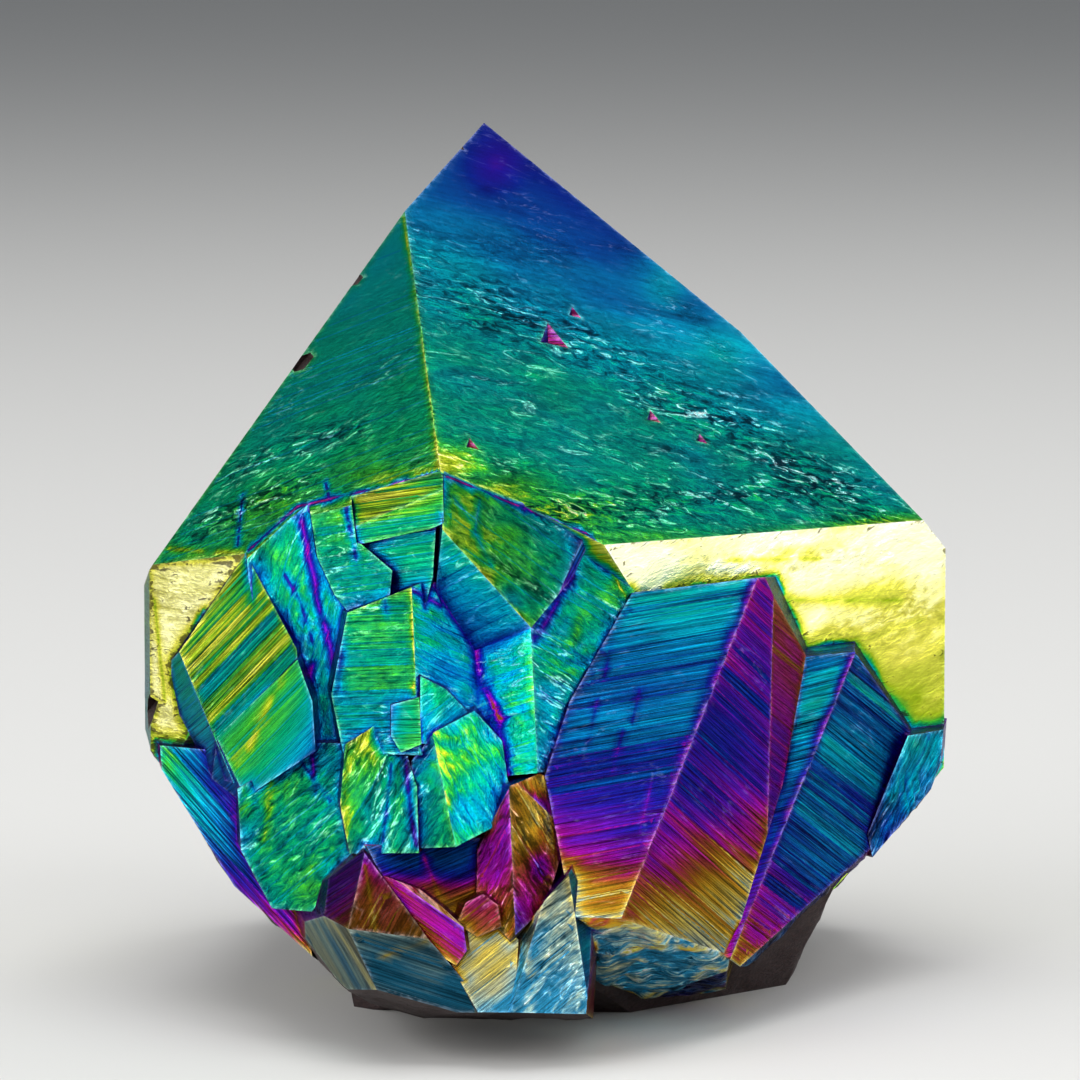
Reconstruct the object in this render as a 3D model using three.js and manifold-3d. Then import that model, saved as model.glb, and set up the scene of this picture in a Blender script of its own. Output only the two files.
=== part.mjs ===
// Aura amethyst point: a single natural quartz point, broken from its bed, with a fan of smaller
// crystals grown onto its foot. The cap comes to one sharp tip. All over it wears a thin metal film,
// except underneath, where it snapped off. Everything grew together, so the whole piece is one solid.
//
// Millimetres, +X to the right, +Y to the back, +Z up. The origin is at the middle of the underside.
//
// A crystal face is written as [turn, pitch, x, y, z]: it looks `turn` degrees to the right of the
// front, `pitch` degrees up from level, and it passes through the point x, y, z. All points are
// measured from the spot on the ground straight below the tip.
import * as THREE from "three";
import { ConvexGeometry } from "three/addons/geometries/ConvexGeometry.js";
import { mergeVertices } from "three/addons/utils/BufferGeometryUtils.js";
import Module from "manifold-3d";

const wasm = await Module();
wasm.setup();

const TIP = [0, 4.8, 79.2];
const GROUND = [0, -90, 0, 0, -5];
const FILM = { color: 0x1f8f8c, roughness: 0.28, metalness: 0.9 };

// The cap faces. The big front right face and three more meet in the tip; the front left face starts
// a little below it and the last one trims the right shoulder.
const CAP = [
  [46.2, 43.1, ...TIP],
  [-48.3, 33.2, -3.5, -37.2, 50.8],
  [-97.2, 34.7, ...TIP],
  [130, 42, ...TIP],
  [176, 39, 0, 5.6, 79.2],
  [102, 42, 41.3, -1.9, 42.2],
];

// The standing sides of the big crystal below the cap.
const SIDES = [
  [44.5, 0, 41.3, -1.9, 42.2],
  [0, -30, 11.1, -31.4, 43.2],
  [-42, 0, -30.4, -17.5, 40],
  [-81, 0, -30.4, -17.5, 40],
  [-103, 0, -31.2, -12.4, 40],
  [-140, 0, -24, 12, 30],
  [176, 0, 0, 28, 30],
  [128, 0, 29, 22, 30],
  [103, 0, 43.4, 0.1, 35],
];

// Face set back under the left part of the cluster.
const RECESS = [-18, 0, -21.3, -25.7, 42.2];

// Root under the crystals, torn out of the bed.
const ROOT = [
  [-3, -60, 5, -24, 0],
  [42, -30, 24, -15, 0],
  [88, -24, 28.5, 0, 0],
  [140, -20, 24, 14, 0],
  [178, -20, 6, 21, 0],
  [-145, -10, -10, 15, 0],
  [-88, -10, -12.5, 0, 0],
  [-40, -20, -9, -24, 0],
  [0, 90, 0, 0, 12],
];

// Block behind the cluster of small crystals, carrying the cap faces forward to the cluster.
const FRONT_BLOCK = [
  [-33, 0, -3.5, -35.4, 50.8],
  [-75, 0, -21.3, -25.7, 42.2],
  [31, 18, 0.5, -36.4, 41.6],
];

// Broken underside: the flat the point stands on and the bevels where it tore out of its bed.
const UNDERSIDE = [
  [0, -90, 0, 0, 0],
  [-3, -77, 0, -28, 0],
  [-45, -68, -9, -25, 0],
  [-79, -49, -8.5, -25.4, 0],
  [-90, -36, -29.3, -14, 21.6],
  [86, -46, 41.5, -3, 17],
  [150, -42, 24, 16, 0],
  [-150, -40, -12, 18, 0],
];

function facing(turn, pitch) {
  const across = THREE.MathUtils.degToRad(turn);
  const up = THREE.MathUtils.degToRad(pitch);
  return new THREE.Vector3(
    Math.sin(across) * Math.cos(up),
    -Math.cos(across) * Math.cos(up),
    Math.sin(up),
  );
}

function facePlane([turn, pitch, x, y, z]) {
  const point = new THREE.Vector3(x, y, z);
  return new THREE.Plane().setFromNormalAndCoplanarPoint(facing(turn, pitch), point);
}

function toSolid(geometry) {
  geometry.deleteAttribute("normal");
  geometry.deleteAttribute("uv");
  const merged = mergeVertices(geometry, 1e-5);
  return new wasm.Manifold(
    new wasm.Mesh({
      numProp: 3,
      vertProperties: new Float32Array(merged.attributes.position.array),
      triVerts: new Uint32Array(merged.index.array),
    }),
  );
}

// Convex body inside a set of flat faces. A corner is any meeting of three faces that no other face
// cuts away.
function body(planes) {
  const corners = [];
  for (let a = 0; a < planes.length; a += 1) {
    for (let b = a + 1; b < planes.length; b += 1) {
      for (let c = b + 1; c < planes.length; c += 1) {
        const meeting = meetingPoint(planes[a], planes[b], planes[c]);
        if (meeting && planes.every((plane) => plane.distanceToPoint(meeting) < 1e-6)) {
          corners.push(meeting);
        }
      }
    }
  }
  return toSolid(new ConvexGeometry(corners));
}

function meetingPoint(a, b, c) {
  const rows = new THREE.Matrix3().set(
    ...a.normal.toArray(),
    ...b.normal.toArray(),
    ...c.normal.toArray(),
  );
  if (Math.abs(rows.determinant()) < 1e-9) {
    return null;
  }
  return new THREE.Vector3(-a.constant, -b.constant, -c.constant).applyMatrix3(rows.invert());
}

// Small crystal standing out of the big one. `faces` are its growth faces, `outline` is the shape they
// show from the front as [x, z] corners. The sides run back from the outline, flaring by `lean`
// degrees; sides that look upward flare by `brow` instead. `depth` is how far back the root reaches.
function crystal({ faces, outline, lean = 12, brow = 0, depth = 12 }) {
  const fronts = faces.map(facePlane);
  const rim = outline.map(([x, z]) => {
    const depths = fronts.map(({ normal, constant }) => {
      return -(constant + normal.x * x + normal.z * z) / normal.y;
    });
    return new THREE.Vector3(x, Math.max(...depths), z);
  });
  const centre = rim
    .reduce((sum, corner) => sum.add(corner), new THREE.Vector3())
    .divideScalar(rim.length);
  const sides = rim.map((corner, index) => {
    const next = rim[(index + 1) % rim.length];
    const edge = next.clone().sub(corner);
    const outward = new THREE.Vector3(edge.z, 0, -edge.x).normalize();
    if (outward.dot(corner.clone().sub(centre)) < 0) {
      outward.negate();
    }
    const flare = THREE.MathUtils.degToRad(outward.z > 0.6 ? brow : lean);
    const run = new THREE.Vector3(0, Math.cos(flare), 0).addScaledVector(outward, Math.sin(flare));
    const normal = edge.clone().cross(run).normalize();
    if (normal.dot(outward) < 0) {
      normal.negate();
    }
    return new THREE.Plane().setFromNormalAndCoplanarPoint(normal, corner);
  });
  const root = facePlane([180, 0, centre.x, centre.y + depth, centre.z]);
  return body([...fronts, ...sides, root]);
}

// Cluster under the front edge of the cap, cut off level with the cap faces.
const CLUSTER = [
  // Smooth slab right under the middle of the cap edge, with an overhanging lower left face and a
  // narrow bevel down its right edge.
  {
    faces: [[31, 18, 0.5, -38.1, 41.6], [-16, -21, 0.5, -38.1, 41.6], [58, -3, 7.6, -34, 41.4]],
    outline: [
      [-3.3, 57], [12, 52], [10.3, 45.2], [8.1, 40.9], [4.5, 37.1], [-0.9, 34],
      [-3.5, 34.5], [-4, 40],
    ],
    lean: 8,
  },
  // Chevron ridge right of the deep valley.
  {
    faces: [[-33, 17, 4.7, -39.5, 31.8], [38, 19, 4.7, -39.5, 31.8]],
    outline: [
      [-2, 36.2], [4.5, 40.5], [9.2, 43.8], [10.6, 43.3], [13.7, 39.2], [12.8, 35.2],
      [5.7, 24.9], [0.5, 24], [-2.5, 30],
    ],
    lean: 8,
  },
  // Middle ridge: a broad banded front face and a bright face falling into the valley.
  {
    faces: [[-37, 16, -5.7, -41.1, 34.2], [48, 17, -5.7, -41.1, 34.2]],
    outline: [
      [-11.8, 38.1], [-6.1, 40.8], [-4.4, 41.3], [1.5, 36], [3, 30], [2.6, 27.6],
      [-3.5, 26.5], [-12.1, 26.2], [-13.2, 31],
    ],
    lean: 7,
  },
  // Low steps on the two faces of the middle ridge.
  {
    faces: [[-37, 16, -6.5, -42.9, 29.5]],
    outline: [[-7.8, 30.8], [-5.3, 31.7], [-5.1, 27.8], [-6.9, 26.9], [-7.8, 28.2]],
    lean: 8,
  },
  {
    faces: [[48, 17, -2.6, -40.2, 31]],
    outline: [[-5.2, 33.4], [-3, 32], [-1.1, 29.8], [-0.6, 27.8], [-3.5, 27.7], [-5.2, 27.8]],
    lean: 8,
  },
  // Hollow face at the left, set back behind its neighbours.
  {
    faces: [[-24, 14, -16.2, -29.4, 38.5]],
    outline: [
      [-21.3, 44], [-16.1, 51.5], [-9, 50], [-8, 40], [-9, 27], [-15, 24], [-19, 31],
      [-20.9, 40],
    ],
    lean: 6,
  },
  // Step between the hollow face and the banded face.
  {
    faces: [[-41, 10, -12.1, -32.3, 42.4]],
    outline: [[-15.9, 50], [-12.3, 53], [-11, 43.8], [-11.4, 37.6], [-13, 39.3], [-14.6, 42.4]],
    lean: 8,
  },
  {
    faces: [[-41, 10, -12.1, -32.3, 42.4]],
    outline: [[-12.5, 44.4], [-10.6, 44], [-7.8, 42], [-8.2, 38], [-11.4, 37.6], [-13, 39.3]],
    lean: 8,
  },
  // Banded face left of the middle edge, with a small bright bevel at its top left corner.
  {
    faces: [[-39, 9, -7.6, -34.8, 47.2], [-42, 16, -11.5, -31.1, 47.7]],
    outline: [[-12.1, 52.5], [-3.3, 56], [-3.2, 46.5], [-4.4, 45.9], [-11.2, 43.8]],
    lean: 10,
  },
  // Lower step of the banded face.
  {
    faces: [[-38, 12, -6.7, -35.6, 42.9]],
    outline: [[-10.5, 44.6], [-3.9, 46.2], [-4.2, 41.6], [-5, 38.5], [-9.5, 38], [-11, 40.5]],
    lean: 8,
  },
  // Left ridge: a banded face beside the left standing side, in two steps.
  {
    faces: [[-46, 10, -21.7, -27.7, 32.8], [-64, -6, -25, -25.6, 27.7]],
    outline: [
      [-21.2, 42.2], [-16.4, 34.5], [-16, 29.5], [-21.6, 22], [-24.4, 21.8], [-27.7, 26.9],
      [-28.4, 29.2], [-28.3, 31.7],
    ],
    lean: 5,
  },
  {
    faces: [[-48, 10, -19.3, -32.1, 27.1], [-62, -5, -23.8, -27.5, 25.7]],
    outline: [
      [-23.8, 25.8], [-16.3, 33.7], [-14.9, 30.3], [-14.6, 26.1], [-21.6, 20.5],
      [-24.4, 21.7],
    ],
    lean: 5,
  },
  // Broad lower left face.
  {
    faces: [[-38, 17, -16, -36.6, 19.7]],
    outline: [
      [-21.8, 21.7], [-15, 26.4], [-12, 26.7], [-9.7, 21.5], [-9.5, 18.2], [-14.9, 12.2],
      [-18.5, 12], [-21.4, 16.5],
    ],
    lean: 6,
  },
  // Short stubs below the middle ridge.
  {
    faces: [[-29, 21, -9.8, -42.4, 23.4]],
    outline: [
      [-11.9, 27], [-9.1, 28.9], [-6.6, 27.2], [-5.5, 24], [-5.3, 18.6], [-11.4, 18],
      [-12.3, 21.9],
    ],
    lean: 6,
  },
  {
    faces: [[-30, 13, -3.1, -45.6, 23.9], [36, 24, -3.1, -45.6, 23.9]],
    outline: [
      [-4, 28.7], [-0.5, 30.1], [1.9, 27.4], [2.5, 23.6], [1.1, 20.4], [-2.1, 19.2],
      [-5.2, 18.8], [-6, 22.8], [-6, 26.1],
    ],
    lean: 6,
  },
];

// Larger crystals on the right, each a broad left face and a steep right face meeting in one ridge.
const BUTTRESSES = [
  {
    faces: [
      [23, 31, 19.5, -34.5, 28.3],
      [54, 7, 19.5, -34.5, 28.3],
      [67, 4, 25.8, -26, 28.9],
      [8, -63, 14, -21.8, 0],
      [34, -68, 23, -15, 0],
    ],
    outline: [
      [13.5, 39.2], [25.6, 39.8], [29.6, 31.7], [28, 22.8], [22.3, 1], [15.1, -1], [9.2, -1],
      [8, 12], [5.7, 24.7], [7.9, 30.6],
    ],
    lean: 6,
    brow: -8,
    depth: 16,
  },
  {
    faces: [[43, 20, 28.4, -23.7, 19.4], [57, 6, 28.4, -23.7, 19.4], [75, -44, 31.5, -17.5, 10]],
    outline: [[29.6, 31.5], [34.3, 31.4], [40, 22.7], [39.5, 17], [33.7, 6], [24, 4], [21, 8]],
    lean: 6,
    brow: 8,
  },
  {
    faces: [[51, 4, 40.2, -7.6, 18.6]],
    outline: [[39.5, 22.9], [43.1, 22.8], [42.8, 19.8], [41.2, 16], [36.5, 10], [35.5, 14.6]],
    lean: 6,
  },
];

// Small crystals along the foot.
const FOOT = [
  // Dark hollow above the foot.
  {
    faces: [[11, 23, -2.2, -44.6, 17.1]],
    outline: [[-9.9, 18.9], [0.2, 19.3], [0.6, 12], [-5.2, 10]],
  },
  // Left foot crystal: a pointed front face with a worn foot, a steep left face and a narrow bevel.
  {
    faces: [
      [5, 31, -11.4, -49.8, 12.4],
      [0, -4, -11.4, -49.8, 12.4],
      [-65, 25, -11.4, -49.8, 12.4],
      [-67, -24, -11.4, -49.8, 12.4],
    ],
    outline: [
      [-9.9, 18.9], [-7.7, 15.9], [-4.4, 11.5], [0, 6.1], [0, 2], [-9, 2], [-15.6, 9],
      [-15.6, 10.9], [-13.3, 15.6],
    ],
  },
  {
    faces: [[8, 43, -4.7, -47.9, 14.5], [-17, 12, -4.7, -47.9, 14.5]],
    outline: [
      [-9, 16.6], [-7.8, 16.3], [-5.2, 15.4], [-3.2, 14], [-1.4, 12.5], [-1.1, 10.5],
      [-2, 9.2], [-5.5, 11],
    ],
  },
  {
    faces: [[-8, 17, 0, -49, 9.9]],
    outline: [[-1.8, 13], [2.2, 12.3], [3.5, 11.2], [3, 5.2], [2.8, 2], [1.8, 2], [-2.4, 8.9]],
  },
  // Middle foot crystal.
  {
    faces: [[17, 2, 4.4, -50.3, 11], [-59, 18, 4.4, -50.3, 11], [71, 8, 8.5, -48.1, 14.2]],
    outline: [
      [5.7, 14.9], [8, 17.4], [9.8, 13.4], [9.6, 8], [9, 1], [0.4, 1], [0.2, 4.9],
      [3.4, 11.6],
    ],
    lean: 4,
  },
  // Upright foot crystal in the middle.
  {
    faces: [[-43, 20, 3.2, -46.8, 19.7], [33, 31, 3.2, -46.8, 19.7], [27, 27, 2.6, -44.1, 23.8]],
    outline: [
      [2.6, 24], [5.3, 24.8], [6.7, 23.5], [7.5, 21], [7.1, 18], [5.7, 14], [2.7, 11.5],
      [-0.3, 13.8], [-0.2, 18.4],
    ],
  },
  {
    faces: [[-22, 15, 0.3, -49, 13.4]],
    outline: [[-2, 12.6], [-1.2, 14.4], [0.3, 15.2], [1.6, 14.4], [1.9, 12.6], [-0.2, 11.6]],
  },
  // Striped outer crystal at the lower left.
  {
    faces: [[-49, -3, -21.8, -27.7, 15.5]],
    outline: [[-29.4, 23.8], [-22, 24.5], [-18, 19], [-16, 11], [-14, 6], [-19, 6], [-29, 17]],
    depth: 16,
  },
];

// Three-sided growth pits sunk in the big front right cap face. Each row is [x, y, z, radius, depth].
const PITS = [
  [6.3, -13.6, 60.5, 1.8, 0.7],
  [8.3, -9, 62.3, 0.8, 0.4],
  [15.5, -13.9, 53.2, 0.9, 0.45],
  [20, -12.2, 51, 0.7, 0.4],
  [-0.9, -31.8, 52.6, 0.8, 0.5],
];

// Small knocks out of the left edge of the cap, one at the tip, and one out of the left standing
// side. Each row is [x, y, z, size].
const CHIPS = [
  [-16.4, -15.2, 58.5, 1.5],
  [-11.5, -13.5, 65.9, 0.9],
  [-2.3, -0.1, 77.3, 0.8],
  [-0.8, 4, 78.6, 0.6],
  [-30.6, -16.5, 26.5, 2.6],
];

// Crystals on the back and sides. Each row is [swing, reach, half width, foot, head, skew]: how far
// round from the front it stands, how far its ridge reaches from the axis, its size, and how far its
// tip sits to one side.
const BACK = [
  [172, 33, 11, 2, 43, 0.3],
  [-160, 31.5, 8, 1, 29, -0.3],
  [-133, 30, 9, 2, 37, 0.2],
  [-108, 29, 6, 4, 25, -0.2],
  [151, 36.5, 8, 1, 33, -0.35],
  [128, 38, 8.5, 2, 38, 0.25],
  [111, 41.5, 5.5, 4, 23, 0.1],
  [-177, 36, 4.5, 0, 17, 0.3],
  [141, 40, 5, 0, 19, -0.2],
  [-147, 33, 5, 0, 16, 0.2],
  [-120, 31, 4.5, 2, 15, -0.3],
];

// Two-faced crystal of the back, drawn as if seen from the front and then swung round to its place.
function backCrystal([swing, reach, half, foot, head, skew]) {
  const ridge = [skew * half, -reach, (foot + head) / 2];
  const shoulder = foot + 0.66 * (head - foot);
  const solid = crystal({
    faces: [
      [-30 + 20 * skew, 13, ...ridge],
      [33 + 20 * skew, 9, ...ridge],
      [10 * skew, 46, skew * half, 1.5 - reach, head - 4],
    ],
    outline: [
      [-half, shoulder],
      [skew * half, head],
      [half, shoulder - 2],
      [0.9 * half, foot],
      [-0.8 * half, foot],
    ],
    lean: 7,
    depth: 14,
  });
  return solid.rotate([0, 0, swing]);
}

// The pit is a blunt pyramid standing point inward in the face.
function pit([x, y, z, radius, depth]) {
  const face = facePlane(CAP[0]);
  const inward = new THREE.Quaternion().setFromUnitVectors(
    new THREE.Vector3(0, 1, 0),
    face.normal.clone().negate(),
  );
  const seat = face.projectPoint(new THREE.Vector3(x, y, z), new THREE.Vector3());
  const geometry = new THREE.ConeGeometry(radius * 1.2, depth * 1.2, 3);
  geometry.translate(0, depth * 0.4, 0);
  geometry.applyQuaternion(inward);
  geometry.translate(seat.x, seat.y, seat.z);
  return toSolid(geometry);
}

function chip([x, y, z, size]) {
  const geometry = new THREE.OctahedronGeometry(size);
  geometry.scale(0.8, 0.8, 1.3);
  geometry.rotateX(0.5);
  geometry.rotateY(0.7);
  geometry.translate(x, y, z);
  return toSolid(geometry);
}

function joined(solids) {
  return solids.reduce((whole, next) => whole.add(next));
}

const underCap = body([
  ...CAP.map(facePlane),
  ...[0, 90, 180, 270].map((turn) => new THREE.Plane(facing(turn, 0), -70)),
  facePlane(GROUND),
]);
const bigCrystal = body([...CAP, ...SIDES, RECESS, GROUND].map(facePlane));
const frontBlock = body([...CAP, ...SIDES, ...FRONT_BLOCK, GROUND].map(facePlane));
const aboveBreak = body([
  ...UNDERSIDE.map(facePlane),
  ...[0, 90, 180, 270].map((turn) => new THREE.Plane(facing(turn, 0), -70)),
  facePlane([0, 90, 0, 0, 90]),
]);
const cluster = joined(CLUSTER.map(crystal)).intersect(underCap);
const foot = joined([...BUTTRESSES.map(crystal), ...FOOT.map(crystal), ...BACK.map(backCrystal)]);
const root = body([...ROOT, UNDERSIDE[0]].map(facePlane));
const damage = joined([...PITS.map(pit), ...CHIPS.map(chip)]);
const whole = joined([bigCrystal, frontBlock, cluster, foot]).intersect(aboveBreak).add(root);
const piece = whole.subtract(damage);

const shape = piece.getMesh();
const geometry = new THREE.BufferGeometry();
geometry.setAttribute("position", new THREE.BufferAttribute(shape.vertProperties, 3));
geometry.setIndex(new THREE.BufferAttribute(shape.triVerts, 1));
geometry.computeVertexNormals();

const point = new THREE.Mesh(
  geometry,
  new THREE.MeshStandardMaterial({ ...FILM, flatShading: true }),
);
point.name = "amethyst_point";

const group = new THREE.Group();
group.name = "aura_amethyst_point";
group.add(point);
const extent = new THREE.Box3().setFromObject(point);
const middle = extent.getCenter(new THREE.Vector3());
group.position.set(-middle.x, -middle.y, -extent.min.z);

export default group;
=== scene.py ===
import math
from collections import Counter

import bmesh
import bpy
import numpy as np
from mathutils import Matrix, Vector, geometry


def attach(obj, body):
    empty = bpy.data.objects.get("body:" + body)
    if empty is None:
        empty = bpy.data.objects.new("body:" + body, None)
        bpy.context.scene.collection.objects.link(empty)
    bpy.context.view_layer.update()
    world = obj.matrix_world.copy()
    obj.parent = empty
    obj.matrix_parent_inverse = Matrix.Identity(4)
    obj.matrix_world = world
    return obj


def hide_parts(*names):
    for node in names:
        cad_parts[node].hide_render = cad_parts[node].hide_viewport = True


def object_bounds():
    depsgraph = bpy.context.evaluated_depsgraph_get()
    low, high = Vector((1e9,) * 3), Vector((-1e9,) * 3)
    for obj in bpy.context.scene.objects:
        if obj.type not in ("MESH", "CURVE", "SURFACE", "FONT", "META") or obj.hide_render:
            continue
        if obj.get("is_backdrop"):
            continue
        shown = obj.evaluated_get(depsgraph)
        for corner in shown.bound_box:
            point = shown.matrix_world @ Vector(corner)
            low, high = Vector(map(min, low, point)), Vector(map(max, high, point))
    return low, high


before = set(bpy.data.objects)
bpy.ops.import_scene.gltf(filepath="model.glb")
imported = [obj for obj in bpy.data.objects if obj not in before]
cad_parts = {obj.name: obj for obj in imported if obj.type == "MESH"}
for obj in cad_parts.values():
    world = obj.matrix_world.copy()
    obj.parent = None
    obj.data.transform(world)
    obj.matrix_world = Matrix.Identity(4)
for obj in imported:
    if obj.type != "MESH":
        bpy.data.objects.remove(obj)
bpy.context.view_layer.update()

# ------------------------------------------------------------------------------------------------
# The crystal. One piece of natural quartz that grew as a big point with a fan of small crystals on
# its foot, and was then coated with titanium in a vacuum. Its big faces are smooth, the small ones
# finely lined, and underneath, where it snapped off its bed, it is torn and bare.
MM = 0.001

# The script measures from the spot on the ground under the tip, as the solid's drawing does.
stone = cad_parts["amethyst_point"]
drawn = bmesh.new()
drawn.from_mesh(stone.data)
bmesh.ops.remove_doubles(drawn, verts=drawn.verts, dist=0.002 * MM)
bmesh.ops.triangulate(drawn, faces=drawn.faces)
drawn.verts.index_update()
corners = np.array([v.co for v in drawn.verts]) / MM
tip = corners[corners[:, 2].argmax()]
under_tip = np.array([tip[0], tip[1] - 4.8, 0.0])
corners -= under_tip


def flat_faces():
    """The solid's flat faces: lists of its triangles that lie in one plane and touch."""
    waiting = sorted(drawn.faces, key=lambda f: -f.calc_area())
    taken = set()
    found = []
    for first in waiting:
        if first in taken:
            continue
        trio = corners[[v.index for v in first.verts]]
        normal = np.cross(trio[1] - trio[0], trio[2] - trio[0])
        normal /= max(np.linalg.norm(normal), 1e-12)
        level = normal @ trio[0]
        taken.add(first)
        members, edge_of_search = [first], [first]
        while edge_of_search:
            for edge in edge_of_search.pop().edges:
                for other in edge.link_faces:
                    heights = corners[[v.index for v in other.verts]] @ normal - level
                    if other not in taken and np.abs(heights).max() < 0.004:
                        taken.add(other)
                        members.append(other)
                        edge_of_search.append(other)
        found.append((normal, level, members))
    return found


# How a crystal face looks. Film thickness runs from 0, the thinnest, through gold, purple, blue,
# green and yellow to 1. `film` lists it from one end of the face to the other. Lengths are in mm,
# angles are counted from level, to the right as seen from the front. These are a plain face's values.
PLAIN_FACE = dict(
    fade=90,      # the way along which film runs, and chaos, flecks and painted brightness where they are lists
    lines=0,      # the way of the growth lines
    edge=0.0,     # how much thicker the film is along the rim
    streak=0.02,  # how much the film varies from line to line
    shade=0.07,   # painted light and shade along the growth lines, and how deep they are
    chaos=0.03,   # strength of the crooked strokes across them: in film, relief and painted light and shade
    steps=0.05,   # height of the growth steps
    tread=1.6,    # width of a growth step
    lumps=0.03,   # height of the rounder unevenness
    crumple=0.0,  # height of the folds that run along fade
    flecks=0.1,   # how many chips: in film and relief, and as painted glints
    specks=0.0,   # how many dark pits
    bare=0.0,     # how much of the film is missing
    gleam=1.0,    # painted brightness: how much lighter or darker the face is painted, for the light it catches
    spots=(),     # patches of another thickness: x, z, half width, half height, film
    seams=(),     # lines of another thickness: film, half width, [(x, z) of each corner]
    flurries=())  # lines that strokes and chips crowd to: times over, half width, corners


def face_look(normal, level, film, **own):
    return {**PLAIN_FACE, **own, "normal": normal, "level": level, "film": film}


def face(turn, pitch, point, film, **own):
    """The look of the face that looks `turn` degrees to the right of the front and `pitch` degrees
    up, and passes through the point."""
    a, e = math.radians(turn), math.radians(pitch)
    normal = np.array([math.sin(a) * math.cos(e), -math.cos(a) * math.cos(e), math.sin(e)])
    return face_look(normal, normal @ np.array(point), film, **own)


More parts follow.
